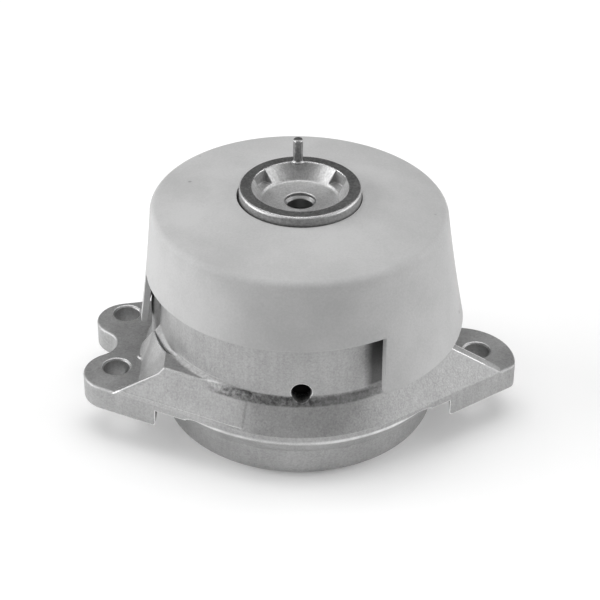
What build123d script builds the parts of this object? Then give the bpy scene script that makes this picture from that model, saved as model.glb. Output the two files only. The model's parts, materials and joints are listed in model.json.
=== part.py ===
from build123d import *
from math import acos, atan2, cos, degrees, hypot, radians, sin, sqrt
import os

# Hydraulic engine mount in a die-cast housing with bolting ears, under a rubber heat and dirt cap.
# Millimetres, +Z up. The origin is the middle of the bowl's flat base, on the mount's axis.
# +X points to the ear with one hole, -Y to the side with the drain hole.

# Clearances
SLIP = 0.1
PLAY = 0.2

# Housing, outside: radii of the bowl and the band follow from the cylinder above them
HOUSING_R = 55.5
HOUSING_HEIGHT = 80.0
HOUSING_EDGE = 0.8
BASE_INSET = 1.7
BASE_ROUND = 5.5
NECK_PROUD = 1.3
FLARE_PROUD = 3.3
FLARE_RISE = 1.8
FLARE_SLOPE = 1.6
FLARE_ROUND = 1.0
BAND_PROUD = 6.7
BAND_SLOPE = 0.41
SHOULDER_RISE = 14.5
SHOULDER_DEPTH = 2.8
SHOULDER_ROUND = 1.5
SCOOP_PROUD = 9.3
SCOOP_ROUND = 1.2
SCOOP_FRONT = 30.0

# Ears
EAR_REACH = 16.5
PAIR_SPACING = 38.0
EAR_HOLE_R = 5.25
EAR_HOLE_CHAMFER = 0.6
EAR_BASE_Z = 15.0
EAR_THICKNESS = 10.0
EAR_ROUND = 0.9
FOOT_ROUND = 1.5
LEFT_FOOT_INSET = 17.8
RIGHT_FOOT_INSET = 11.2
FRONT_LOBE_R = 13.2
FRONT_LOBE_SHIFT = 2.9
BACK_LOBE_R = 12.2
BACK_LOBE_SHIFT = 4.4
LOBE_INSET = 0.4
WAIST_R = 8.5
BACK_EDGE_ANGLE = 14.3
BACK_BLEND_R = 8.0
NOSE_R = 22.2
NOSE_INSET = 6.8
NOSE_SHIFT = 6.0
NOSE_CORNER_R = 5.2
NOSE_CORNER_ANGLE = -5.0
NOSE_BLEND_R = 6.0

# Webs and ribs above the ears
LIP_TOE_INSET = 1.0
LIP_TOE_SHIFT = 18.0
LIP_RISE = 0.633
LIP_FALL = 0.177
LIP_WIDTH = 3.2
RAMP_REACH = 6.3
RAMP_RISE = 1.05
RAMP_ROUND = 5.0
RIB_TOE_REACH = 9.2
RIB_RISE = 0.80
RIB_THICKNESS = 3.0
RIB_HEIGHT = 17.0
SIDE_RIB_PROUD = 3.0
SIDE_RIB_WIDTH = 18.0
SIDE_RIB_KNEE = 25.0
SIDE_RIB_HEIGHT = 37.0
SIDE_RIB_ROUND = 2.0

# Housing, inside
HOUSING_WALL = 4.5
FLOOR = 5.0
CAVITY_STEP = 3.0
CAVITY_ROUND = 3.0
SEAT_RISE = 1.0
STOP_DEPTH = 8.0
STOP_STEP = 1.4
GROOVE_DEPTH = 1.2
BREATHER_R = 2.5
BREATHER_ORBIT = 30.0
DRAIN_R = 4.0
DRAIN_RISE = 2.2
DRAIN_ANGLE = -86.7

# Core
CORE_PROUD = 19.6
CORE_RING_R = 23.75
CORE_RING_CHAMFER = 0.7
RING_LAND = 4.75
CUP_TAPER = 4.0
CUP_DEPTH = 6.5
CUP_ROUND = 0.8
CUP_LIP = 1.3
CUP_HOLE_R = 6.2
POCKET_WIDTH = 8.0
POCKET_FLOOR = 1.0
POCKET_COUNT = 3
POCKET_START = 32.0
PIN_R = 1.95
PIN_ORBIT = 19.5
PIN_ANGLE = 95.0
PIN_HEIGHT = 9.9
PIN_CHAMFER = 0.4
PIN_ROOT_R = 2.5
PIN_ROOT_HEIGHT = 0.4
COLLAR_PROUD = 4.25
COLLAR_DROP = 8.1
COLLAR_THICKNESS = 4.0
COLLAR_ROUND = 1.0
NECK_INSET = 0.75
FLANGE_LAND = 7.0
FLANGE_THICKNESS = 8.0
FLANGE_ROUND = 2.0
CONE_INSET = 6.0
CONE_ROUND = 3.0
CORE_TIP_R = 17.0
CORE_TIP_RISE = 7.0

# Steel thread insert, M12
THREAD_R = 5.1
INSERT_R = 8.6
INSERT_LENGTH = 32.0
INSERT_CHAMFER = 1.0
INSERT_GROOVE = 0.8

# Rubber spring and its steel outer ring
RING_WALL = 2.2
RING_HEIGHT = 11.0
RING_FOOT = 4.8
RING_FOOT_HEIGHT = 2.0
SPRING_INSET = 3.0
SPRING_HOLLOW = 1.5
SPRING_UNDER_RISE = 6.5

# Damping unit
PLATE = 4.0
MEMBRANE = 3.2
PORT_R = 3.0
PORT_SPACING = 11.0
PORT_COUNTS = (1, 6, 10)
TRACK_EDGE = 6.5
TRACK_WIDTH = 7.0
TRACK_DEPTH = 2.4
TRACK_SWEEP = 300.0
TRACK_END = 4.0
RIVET_LAND = 3.3
RIVET_R = 1.5
RIVET_HEAD_R = 2.6
RIVET_HEAD = 1.0
RIVET_COUNT = 6
MEMBRANE_LAND = 4.2
SEAL_EDGE = 2.4
SEAL_WIDTH = 1.8
SEAL_HEIGHT = 1.6
SEAL_ROUND = 0.3

# Bellows
BELLOWS_WALL = 1.2
BELLOWS_RIM = 5.0
BELLOWS_ROOM = 3.0
BELLOWS_ROLL = 8.5
BELLOWS_BEND = 2.5
DOME_R = 26.0
DOME_RISE = 8.2
BELLOWS_RING = 0.8
BELLOWS_RING_WIDTH = 2.4

# Rebound stop
STOP_GAP = 2.0
STOP_TRAVEL = 6.0
STOP_RING = 2.0
STOP_DISH = 2.5
STOP_DISH_LAND = 8.0
STOP_DISH_RUN = 4.0
BUFFER_HEIGHT = 4.0
BUFFER_INSET = 3.0
BUFFER_ROUND = 1.5
RETAINING_RING = 1.6
RETAINING_RING_WIDTH = 3.0
RETAINING_RING_GAP = 24.0

# Rubber cap
CAP_WALL = 2.5
CAP_HOLE_PROUD = 0.7
CAP_HOLE_DROP = 4.3
CAP_HUB_PROUD = 1.5
CAP_TOP_FALL = 3.7
CAP_SHOULDER_PROUD = 2.6
CAP_SHOULDER_ROUND = 4.0
CAP_MIDDLE_PROUD = 5.3
CAP_HEM_PROUD = 9.1
CAP_SKIRT = 49.0
CAP_SHORT_SKIRT = 26.9
CAP_CUT_START = -168.8
CAP_CUT_END = -54.9

# Places that follow from the sizes
bore_r = HOUSING_R - HOUSING_WALL
cavity_r = bore_r - CAVITY_STEP
stop_seat_r = bore_r + STOP_STEP
groove_r = stop_seat_r + GROOVE_DEPTH
neck_r = HOUSING_R + NECK_PROUD
flare_r = HOUSING_R + FLARE_PROUD
band_r = HOUSING_R + BAND_PROUD
scoop_r = HOUSING_R + SCOOP_PROUD
flare_z = EAR_BASE_Z + FLARE_RISE
band_z = flare_z + (band_r - flare_r) * FLARE_SLOPE
scoop_z = flare_z + (scoop_r - flare_r) * FLARE_SLOPE
ear_top_z = EAR_BASE_Z + EAR_THICKNESS
shoulder_z = ear_top_z + SHOULDER_RISE
seat_z = EAR_BASE_Z + SEAT_RISE
stop_z = HOUSING_HEIGHT - STOP_DEPTH
retaining_z = stop_z + STOP_RING
lower_plate_z = seat_z + BELLOWS_RING + BELLOWS_WALL
plate_joint_z = lower_plate_z + PLATE
ring_z = plate_joint_z + PLATE
ring_top_z = ring_z + RING_HEIGHT
ring_foot_z = ring_z + RING_FOOT_HEIGHT
core_top_z = HOUSING_HEIGHT + CORE_PROUD
core_tip_z = ring_foot_z + CORE_TIP_RISE
cup_mouth_r = CORE_RING_R - RING_LAND
cup_floor_r = cup_mouth_r - CUP_TAPER
cup_floor_z = core_top_z - CUP_DEPTH
insert_top_z = cup_floor_z - CUP_LIP
insert_low_z = insert_top_z - INSERT_LENGTH
insert_step_z = insert_top_z - INSERT_LENGTH / 2
collar_r = CORE_RING_R + COLLAR_PROUD
collar_z = core_top_z - COLLAR_DROP
core_neck_r = CORE_RING_R - NECK_INSET
stop_hole_r = core_neck_r + STOP_TRAVEL
flange_r = stop_hole_r + FLANGE_LAND
flange_top_z = stop_z - STOP_GAP - BUFFER_HEIGHT
flange_z = flange_top_z - FLANGE_THICKNESS
track_outer_r = bore_r - TRACK_EDGE
track_r = track_outer_r - TRACK_WIDTH / 2
rivet_orbit = track_outer_r - TRACK_WIDTH - RIVET_LAND
membrane_r = rivet_orbit - MEMBRANE_LAND
cap_hole_r = CORE_RING_R + CAP_HOLE_PROUD
cap_hole_z = core_top_z - CAP_HOLE_DROP
cap_shoulder_z = cap_hole_z - CAP_TOP_FALL
hole_x = HOUSING_R + EAR_REACH
left_foot_x = LEFT_FOOT_INSET - hole_x
right_foot_x = hole_x - RIGHT_FOOT_INSET
front_hole = (-hole_x, -PAIR_SPACING / 2)
back_hole = (-hole_x, PAIR_SPACING / 2)
right_hole = (hole_x, 0.0)
front_lobe = (front_hole[0] + LOBE_INSET, front_hole[1] - FRONT_LOBE_SHIFT)
back_lobe = (back_hole[0] + LOBE_INSET, back_hole[1] - BACK_LOBE_SHIFT)
nose = (right_hole[0] - NOSE_INSET, right_hole[1] - NOSE_SHIFT)


def polar(radius, angle, centre=(0.0, 0.0)):
    """Plan point at a radius and an angle in degrees from +X about a centre."""
    return (centre[0] + radius * cos(radians(angle)), centre[1] + radius * sin(radians(angle)))


def common_wall(centre, radius, side):
    """Normal's angle of the wall tangent to the band's circle and to a smaller circle near an ear's end."""
    opening = degrees(acos((band_r - radius) / hypot(*centre)))
    return degrees(atan2(centre[1], centre[0])) + side * opening


nose_corner = polar(NOSE_R - NOSE_CORNER_R, NOSE_CORNER_ANGLE, nose)
left_wall = common_wall(front_lobe, FRONT_LOBE_R, 1)
right_wall = common_wall(nose_corner, NOSE_CORNER_R, -1)


def along_wall(point, wall_angle):
    """Distance of a plan point along a wall from where it leaves the band."""
    return point[1] * cos(radians(wall_angle)) - point[0] * sin(radians(wall_angle))


def profile(corners):
    """Closed face in (radius, height) from (radius, height, corner radius) points."""
    outline = make_face(Polyline(*[(r, z) for r, z, _ in corners], close=True))
    for r, z, rounding in corners:
        if rounding:
            outline = fillet(outline.vertices().sort_by_distance((r, z, 0))[0], rounding)
    return outline


def turned(outline):
    """Solid of revolution about Z from a face drawn in (radius, height)."""
    return revolve(Plane.XZ * outline, Axis.Z)


def disc(radius, low_z, thickness):
    """Cylinder about Z that stands on a height."""
    return Pos(0, 0, low_z) * Cylinder(radius, thickness, align=(Align.CENTER, Align.CENTER, Align.MIN))


def sector(radius, start, end):
    """Plan sector between two angles, drawn counter-clockwise from start to end."""
    arc = CenterArc((0, 0), radius, start, end - start)
    return make_face([Line((0, 0), arc @ 0), arc, Line(arc @ 1, (0, 0))])


def on_circle(radius, count, start=0.0):
    """Equally spaced locations on a circle about Z."""
    return [Location((*polar(radius, start + 360.0 * i / count), 0)) for i in range(count)]


def left_ear_plan():
    """Two-lobed ear: a wall tangent to band and front lobe, a waist and a straight back edge."""
    reach_front = FRONT_LOBE_R + WAIST_R
    reach_back = BACK_LOBE_R + WAIST_R
    spacing = back_lobe[1] - front_lobe[1]
    waist_along = (reach_front**2 - reach_back**2 + spacing**2) / (2 * spacing)
    waist = (front_lobe[0] - sqrt(reach_front**2 - waist_along**2), front_lobe[1] + waist_along)
    back_normal = BACK_EDGE_ANGLE + 90
    back_start = polar(BACK_LOBE_R, back_normal, back_lobe)
    back_run = back_start[0] * cos(radians(back_normal)) + back_start[1] * sin(radians(back_normal))
    back_meet = polar(band_r, back_normal + degrees(acos(back_run / band_r)))
    plan = make_face(Polyline(
        (0, 0),
        polar(band_r, left_wall),
        polar(FRONT_LOBE_R, left_wall, front_lobe),
        front_lobe,
        waist,
        back_lobe,
        back_start,
        back_meet,
        close=True,
    ))
    plan -= Pos(*waist) * Circle(WAIST_R)
    plan += Pos(*front_lobe) * Circle(FRONT_LOBE_R)
    plan += Pos(*back_lobe) * Circle(BACK_LOBE_R)
    return plan, back_meet


def right_ear_plan():
    """One-hole ear: a broad nose with a tighter corner that the wall is tangent to."""
    reach = hypot(*nose)
    opening = degrees(acos((reach**2 + band_r**2 - NOSE_R**2) / (2 * reach * band_r)))
    nose_meet = polar(band_r, degrees(atan2(nose[1], nose[0])) + opening)
    plan = make_face(Polyline(
        (0, 0),
        polar(band_r, right_wall),
        polar(NOSE_CORNER_R, right_wall, nose_corner),
        nose_corner,
        polar(NOSE_CORNER_R, NOSE_CORNER_ANGLE + 90, nose),
        close=True,
    ))
    plan += Pos(*nose_corner) * Circle(NOSE_CORNER_R)
    plan += Pos(*nose) * sector(NOSE_R, NOSE_CORNER_ANGLE, 180 + NOSE_CORNER_ANGLE)
    return plan, nose_meet


def ear_plate():
    """Both ears and the disc between them: thick feet at the ears, a thin web towards the bowl."""
    left_plan, back_meet = left_ear_plan()
    right_plan, nose_meet = right_ear_plan()
    plan = Circle(band_r) + left_plan + right_plan
    plan = fillet(plan.vertices().sort_by_distance((*back_meet, 0))[0], BACK_BLEND_R)
    plan = fillet(plan.vertices().sort_by_distance((*nose_meet, 0))[0], NOSE_BLEND_R)
    plate = extrude(Pos(0, 0, EAR_BASE_Z) * plan, EAR_THICKNESS)
    plate = fillet(plate.edges().group_by(Axis.Z)[-1], EAR_ROUND)
    undercut = Box(
        right_foot_x - left_foot_x, 4 * band_r, band_z - EAR_BASE_Z,
        align=(Align.MIN, Align.CENTER, Align.MIN),
    )
    plate -= Pos(left_foot_x, 0, EAR_BASE_Z) * undercut
    foot_ends = plate.edges().filter_by(Axis.Y).group_by(Axis.Z)[0]
    return fillet(foot_ends, FOOT_ROUND)


def wall_prism(wall_angle, start, end, thickness, height):
    """Drafted wall beside an ear, between two stations along it, upright below and leaning in above."""
    lean = height * BAND_SLOPE
    section = profile([
        (band_r - thickness, band_z, 0),
        (band_r, band_z, 0),
        (band_r, ear_top_z, 0),
        (band_r - lean, ear_top_z + height, 0),
        (band_r - lean - thickness, ear_top_z + height, 0),
        (band_r - thickness, ear_top_z, 0),
    ])
    plane = Plane(origin=(0, end, 0), x_dir=(1, 0, 0), z_dir=(0, -1, 0))
    return Rot(0, 0, wall_angle) * extrude(plane * section, end - start)


def above_plane(point, normal):
    """Large block on the side of a plane that its normal points to."""
    size = 4 * band_r
    return Plane(origin=point, z_dir=normal) * Box(
        size, size, size, align=(Align.CENTER, Align.CENTER, Align.MIN))


def left_web():
    """Thick web of the two-hole ear: a lip along the wall and a steeper ramp behind it."""
    start = along_wall(front_lobe, left_wall)
    web = wall_prism(left_wall, start, 0, bore_r, SHOULDER_RISE)
    lip_toe = (LIP_TOE_INSET - hole_x, front_hole[1] - LIP_TOE_SHIFT, ear_top_z)
    web -= above_plane(lip_toe, (-LIP_RISE, LIP_FALL, 1))
    ramp_foot = (-HOUSING_R - RAMP_REACH, front_lobe[1], ear_top_z)
    lip_inside = (*polar(band_r - LIP_WIDTH, left_wall), 0)
    bolt_room = above_plane(ramp_foot, (-RAMP_RISE, 0, 1))
    bolt_room &= above_plane(lip_inside, (*polar(-1, left_wall), 0))
    bolt_room &= above_plane(ramp_foot, (0, 0, 1))
    return web - fillet(bolt_room.edges().sort_by_distance(ramp_foot)[0], RAMP_ROUND)


def right_web():
    """Thin rib along the wall of the one-hole ear."""
    end = along_wall(nose_corner, right_wall)
    web = wall_prism(right_wall, 0, end, RIB_THICKNESS, RIB_HEIGHT)
    return web - above_plane((hole_x + RIB_TOE_REACH, 0, ear_top_z), (RIB_RISE, 0, 1))


def side_rib(side):
    """Cast rib that stiffens the wall above an ear."""
    rib_r = HOUSING_R + SIDE_RIB_PROUD
    section = make_face(Polyline(
        (0, band_z),
        (rib_r, band_z),
        (rib_r, ear_top_z + SIDE_RIB_KNEE),
        (bore_r, ear_top_z + SIDE_RIB_HEIGHT),
        (0, ear_top_z + SIDE_RIB_HEIGHT),
        close=True,
    ))
    rib = extrude(Plane.XZ * section, SIDE_RIB_WIDTH / 2, both=True)
    outer = rib.edges().filter_by(Axis.Z).sort_by(Axis.X)[-2:]
    return Rot(0, 0, 90 - 90 * side) * fillet(outer, SIDE_RIB_ROUND)


def housing():
    """One-piece aluminium casting: bowl, band, ears, webs and cylinder."""
    shoulder_low_z = shoulder_z - SHOULDER_DEPTH
    outside = turned(profile([
        (0, 0, 0),
        (HOUSING_R - BASE_INSET, 0, BASE_ROUND),
        (neck_r, EAR_BASE_Z, FLARE_ROUND),
        (flare_r, flare_z, FLARE_ROUND),
        (band_r, band_z, 0),
        (band_r, ear_top_z, 0),
        (band_r - (shoulder_low_z - ear_top_z) * BAND_SLOPE, shoulder_low_z, SHOULDER_ROUND),
        (HOUSING_R, shoulder_z, SHOULDER_ROUND),
        (HOUSING_R, HOUSING_HEIGHT, HOUSING_EDGE),
        (0, HOUSING_HEIGHT, 0),
    ]))
    body = outside + ear_plate() + left_web() + right_web() + side_rib(1) + side_rib(-1)
    scoop = turned(profile([
        (flare_r, flare_z, 0),
        (scoop_r, scoop_z, SCOOP_ROUND),
        (scoop_r, flare_z, 0),
    ]))
    front = Box(4 * band_r, band_r, HOUSING_HEIGHT, align=(Align.CENTER, Align.MAX, Align.MIN))
    body -= scoop & Pos(0, -SCOOP_FRONT, 0) * front
    groove_top_z = retaining_z + RETAINING_RING + SLIP
    body -= turned(profile([
        (0, FLOOR, 0),
        (cavity_r, FLOOR, CAVITY_ROUND),
        (cavity_r, seat_z, 0),
        (bore_r, seat_z, 0),
        (bore_r, stop_z, 0),
        (stop_seat_r, stop_z, 0),
        (stop_seat_r, retaining_z, 0),
        (groove_r, retaining_z, 0),
        (groove_r, groove_top_z, 0),
        (stop_seat_r, groove_top_z, 0),
        (stop_seat_r, HOUSING_HEIGHT - HOUSING_EDGE, 0),
        (stop_seat_r + HOUSING_EDGE, HOUSING_HEIGHT, 0),
        (0, HOUSING_HEIGHT, 0),
    ]))
    body -= Pos(0, BREATHER_ORBIT, 0) * Cylinder(BREATHER_R, 3 * FLOOR)
    drain_z = shoulder_z + DRAIN_RISE
    body -= Pos(0, 0, drain_z) * Rot(0, 0, DRAIN_ANGLE) * Rot(0, 90, 0) * disc(DRAIN_R, 0, 2 * HOUSING_R)
    mouth = Cone(EAR_HOLE_R, EAR_HOLE_R + 2 * EAR_HOLE_CHAMFER, 2 * EAR_HOLE_CHAMFER)
    for place in (front_hole, back_hole, right_hole):
        body -= Pos(*place, ear_top_z) * Cylinder(EAR_HOLE_R, 3 * EAR_THICKNESS)
        body -= Pos(*place, ear_top_z) * mouth
    return body


def core():
    """Cast core: cup with pockets and locating pin, cap collar, neck, rebound flange and cone."""
    collar_low_z = collar_z - COLLAR_THICKNESS
    body = turned(profile([
        (0, core_tip_z, 0),
        (CORE_TIP_R, core_tip_z, FLANGE_ROUND),
        (flange_r - CONE_INSET, flange_z, CONE_ROUND),
        (flange_r, flange_z, FLANGE_ROUND),
        (flange_r, flange_top_z, FLANGE_ROUND),
        (core_neck_r, flange_top_z, FLANGE_ROUND),
        (core_neck_r, collar_low_z, COLLAR_ROUND),
        (collar_r, collar_low_z, COLLAR_ROUND),
        (collar_r, collar_z, COLLAR_ROUND / 2),
        (CORE_RING_R, collar_z, 0),
        (CORE_RING_R, core_top_z - CORE_RING_CHAMFER, 0),
        (CORE_RING_R - CORE_RING_CHAMFER, core_top_z, 0),
        (cup_mouth_r, core_top_z, 0),
        (cup_floor_r, cup_floor_z, CUP_ROUND),
        (CUP_HOLE_R, cup_floor_z, 0),
        (CUP_HOLE_R, insert_top_z, 0),
        (INSERT_R, insert_top_z, 0),
        (INSERT_R, insert_step_z, 0),
        (INSERT_R - INSERT_GROOVE, insert_step_z, 0),
        (INSERT_R - INSERT_GROOVE, insert_low_z, 0),
        (0, insert_low_z, 0),
    ]))
    pocket = Box(2 * CUP_TAPER, POCKET_WIDTH, CUP_DEPTH, align=(Align.MAX, Align.CENTER, Align.MIN))
    pocket_slot = disc(cup_mouth_r, cup_floor_z + POCKET_FLOOR, CUP_DEPTH)
    for i in range(POCKET_COUNT):
        place = Rot(0, 0, POCKET_START + 360.0 * i / POCKET_COUNT) * Pos(cup_mouth_r, 0, cup_floor_z)
        body -= place * pocket & pocket_slot
    root_z = core_top_z + PIN_ROOT_HEIGHT
    pin = disc(PIN_ROOT_R, cup_floor_z, root_z - cup_floor_z)
    shaft = disc(PIN_R, root_z, PIN_HEIGHT - PIN_ROOT_HEIGHT)
    pin += chamfer(shaft.edges().group_by(Axis.Z)[-1], PIN_CHAMFER)
    return body + Pos(*polar(PIN_ORBIT, PIN_ANGLE), 0) * pin


def thread_insert():
    """Steel sleeve cast into the core, with the M12 thread's bore."""
    return turned(profile([
        (THREAD_R, insert_low_z, 0),
        (INSERT_R - INSERT_GROOVE, insert_low_z, 0),
        (INSERT_R - INSERT_GROOVE, insert_step_z, 0),
        (INSERT_R, insert_step_z, 0),
        (INSERT_R, insert_top_z, 0),
        (THREAD_R + INSERT_CHAMFER, insert_top_z, 0),
        (THREAD_R, insert_top_z - INSERT_CHAMFER, 0),
    ]))


def outer_ring():
    """Steel ring bonded to the rubber spring and pressed into the housing's bore."""
    return turned(profile([
        (bore_r - RING_FOOT, ring_z, 0),
        (bore_r, ring_z, 0),
        (bore_r, ring_top_z, 0),
        (bore_r - RING_WALL, ring_top_z, 0),
        (bore_r - RING_WALL, ring_foot_z, 0),
        (bore_r - RING_FOOT, ring_foot_z, 0),
    ]))


def main_spring():
    """Bonded rubber cone between the core and the outer ring."""
    foot_r = bore_r - RING_FOOT
    wall_r = bore_r - RING_WALL
    top_r = flange_r - SPRING_INSET
    block = make_face([
        Line((INSERT_R, core_tip_z), (CORE_TIP_R, core_tip_z)),
        ThreePointArc(
            (CORE_TIP_R, core_tip_z),
            ((CORE_TIP_R + foot_r) / 2, ring_foot_z + SPRING_UNDER_RISE),
            (foot_r, ring_foot_z),
        ),
        Line((foot_r, ring_foot_z), (wall_r, ring_foot_z)),
        Line((wall_r, ring_foot_z), (wall_r, ring_top_z)),
        ThreePointArc(
            (wall_r, ring_top_z),
            ((wall_r + top_r) / 2, (ring_top_z + flange_z) / 2 - SPRING_HOLLOW),
            (top_r, flange_z),
        ),
        Line((top_r, flange_z), (INSERT_R, flange_z)),
        Line((INSERT_R, flange_z), (INSERT_R, core_tip_z)),
    ])
    return turned(block) - core()


def channel_plate(low_z, recess_z):
    """Plate with rivet holes, ports and half of the membrane's recess."""
    recess = MEMBRANE / 2 + PLAY
    plate = disc(bore_r - SLIP, low_z, PLATE) - disc(membrane_r + PLAY, recess_z, recess)
    for ring, count in enumerate(PORT_COUNTS):
        for place in on_circle(ring * PORT_SPACING, count):
            plate -= place * disc(PORT_R, low_z, PLATE)
    for place in on_circle(rivet_orbit, RIVET_COUNT):
        plate -= place * disc(RIVET_R + SLIP, low_z, PLATE)
    return plate


def lower_channel_plate():
    """Lower plate, with the outlet of the inertia track."""
    plate = channel_plate(lower_plate_z, plate_joint_z - MEMBRANE / 2 - PLAY)
    outlet = Pos(*polar(track_r, TRACK_SWEEP - TRACK_END), 0)
    return plate - outlet * disc(PORT_R, lower_plate_z, PLATE)


def upper_channel_plate():
    """Upper plate, with the inertia track in its underside and the seal groove on top."""
    plate = channel_plate(plate_joint_z, plate_joint_z)
    track = sector(track_outer_r, 0, TRACK_SWEEP) - Circle(track_outer_r - TRACK_WIDTH)
    plate -= extrude(Pos(0, 0, plate_joint_z) * track, TRACK_DEPTH)
    plate -= Pos(*polar(track_r, TRACK_END), 0) * disc(PORT_R, plate_joint_z, PLATE)
    seal_orbit = bore_r - SEAL_EDGE
    groove = Circle(seal_orbit + SEAL_WIDTH / 2 + SLIP) - Circle(seal_orbit - SEAL_WIDTH / 2 - SLIP)
    return plate - extrude(Pos(0, 0, ring_z - SEAL_HEIGHT) * groove, SEAL_HEIGHT)


def decoupler_membrane():
    """Rubber disc that floats between the plates."""
    membrane = disc(membrane_r, plate_joint_z - MEMBRANE / 2, MEMBRANE)
    return fillet(membrane.edges(), MEMBRANE / 4)


def plate_rivets():
    """Rivets that hold the two plates together, as one group."""
    shank = disc(RIVET_R, lower_plate_z, 2 * PLATE)
    rivet = shank + disc(RIVET_HEAD_R, ring_z, RIVET_HEAD)
    rivet += disc(RIVET_HEAD_R, lower_plate_z - RIVET_HEAD, RIVET_HEAD)
    return Compound([place * rivet for place in on_circle(rivet_orbit, RIVET_COUNT)])


def seal_ring():
    """Rubber ring that seals the upper plate to the outer ring."""
    inner_r = bore_r - SEAL_EDGE - SEAL_WIDTH / 2
    outer_r = inner_r + SEAL_WIDTH
    low_z = ring_z - SEAL_HEIGHT
    return turned(profile([
        (inner_r, low_z, SEAL_ROUND),
        (outer_r, low_z, SEAL_ROUND),
        (outer_r, ring_z, SEAL_ROUND),
        (inner_r, ring_z, SEAL_ROUND),
    ]))


def bellows():
    """Thin rubber diaphragm that closes the fluid in from below."""
    rim_z = seat_z + BELLOWS_RING
    low_z = FLOOR + BELLOWS_ROOM
    path = FilletPolyline(
        (SLIP, FLOOR + DOME_RISE),
        (DOME_R, FLOOR + DOME_RISE),
        (cavity_r - BELLOWS_ROOM - BELLOWS_ROLL, low_z),
        (cavity_r - BELLOWS_ROOM, low_z),
        (cavity_r - 2 * BELLOWS_WALL, rim_z + BELLOWS_WALL / 2),
        radius=BELLOWS_BEND,
    )
    rim = Rectangle(BELLOWS_RIM, BELLOWS_WALL, align=(Align.MAX, Align.MIN))
    skin = trace(path, BELLOWS_WALL) + Pos(bore_r - SLIP, rim_z) * rim
    half_plane = Rectangle(bore_r, lower_plate_z, align=(Align.MIN, Align.MIN))
    return turned(skin & half_plane)


def bellows_ring():
    """Steel ring under the rim of the bellows, on the housing's seat."""
    ring_r = bore_r - SLIP
    return disc(ring_r, seat_z, BELLOWS_RING) - disc(ring_r - BELLOWS_RING_WIDTH, seat_z, BELLOWS_RING)


def rebound_buffer():
    """Rubber ring on the core's flange, below the stop ring."""
    inner_r = core_neck_r + BUFFER_INSET
    outer_r = flange_r - BUFFER_INSET
    return turned(profile([
        (inner_r, flange_top_z, 0),
        (outer_r, flange_top_z, 0),
        (outer_r, flange_top_z + BUFFER_HEIGHT, BUFFER_ROUND),
        (inner_r, flange_top_z + BUFFER_HEIGHT, BUFFER_ROUND),
    ]))


def stop_ring():
    """Pressed steel ring, dished round its hole, that limits the core's rebound."""
    outer_r = stop_seat_r - SLIP
    dish_r = stop_hole_r + STOP_DISH_LAND
    half_wall = STOP_RING / 2
    path = FilletPolyline(
        (stop_hole_r, stop_z + STOP_DISH + half_wall),
        (dish_r, stop_z + STOP_DISH + half_wall),
        (dish_r + STOP_DISH_RUN, stop_z + half_wall),
        (outer_r, stop_z + half_wall),
        radius=STOP_RING,
    )
    return turned(make_face(trace(path, STOP_RING)))


def retaining_ring():
    """Open spring ring in the housing's groove, on the stop ring."""
    outer_r = groove_r - SLIP
    ring = Circle(outer_r) - Circle(outer_r - RETAINING_RING_WIDTH)
    ring -= Rot(0, 0, 90) * sector(2 * outer_r, -RETAINING_RING_GAP / 2, RETAINING_RING_GAP / 2)
    return extrude(Pos(0, 0, retaining_z) * ring, RETAINING_RING)


def cap_section(inset):
    """Half section of the cap's outer form, drawn in by an inset."""
    shoulder = (HOUSING_R + CAP_SHOULDER_PROUD - inset, cap_shoulder_z - inset)
    hem = (HOUSING_R + CAP_HEM_PROUD - inset, cap_shoulder_z - CAP_SKIRT)
    middle = (HOUSING_R + CAP_MIDDLE_PROUD - inset, cap_shoulder_z - CAP_SKIRT / 2)
    rim = (cap_hole_r, cap_hole_z - inset)
    face = make_face([
        Line((0, hem[1]), (0, rim[1])),
        Line((0, rim[1]), rim),
        Line(rim, shoulder),
        ThreePointArc(shoulder, middle, hem),
        Line(hem, (0, hem[1])),
    ])
    corner = face.vertices().sort_by_distance((*shoulder, 0))[0]
    return fillet(corner, CAP_SHOULDER_ROUND - inset / 2)


def rubber_cap():
    """Moulded cap on the core's collar, with a long skirt and a cut-out at the front."""
    outside = turned(cap_section(0))
    hub = disc(collar_r + CAP_HUB_PROUD, collar_z, CAP_HOLE_DROP + CAP_WALL)
    shell = outside - turned(cap_section(CAP_WALL)) + (hub & outside)
    shell -= disc(cap_hole_r, 0, 2 * core_top_z)
    window = sector(2 * HOUSING_R, CAP_CUT_START, CAP_CUT_END)
    return shell - extrude(window, cap_shoulder_z - CAP_SHORT_SKIRT)


PIECES = {
    "housing": housing,
    "core": core,
    "thread_insert": thread_insert,
    "outer_ring": outer_ring,
    "main_spring": main_spring,
    "upper_channel_plate": upper_channel_plate,
    "lower_channel_plate": lower_channel_plate,
    "decoupler_membrane": decoupler_membrane,
    "plate_rivets": plate_rivets,
    "seal_ring": seal_ring,
    "bellows": bellows,
    "bellows_ring": bellows_ring,
    "rebound_buffer": rebound_buffer,
    "stop_ring": stop_ring,
    "retaining_ring": retaining_ring,
    "rubber_cap": rubber_cap,
}

os.makedirs("parts", exist_ok=True)
for node, make in PIECES.items():
    export_step(make(), f"parts/{node}.step")
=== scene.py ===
import json
from collections import namedtuple
from math import cos, degrees, radians, sin

import bpy
import numpy as np
from mathutils import Matrix, Vector


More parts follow.
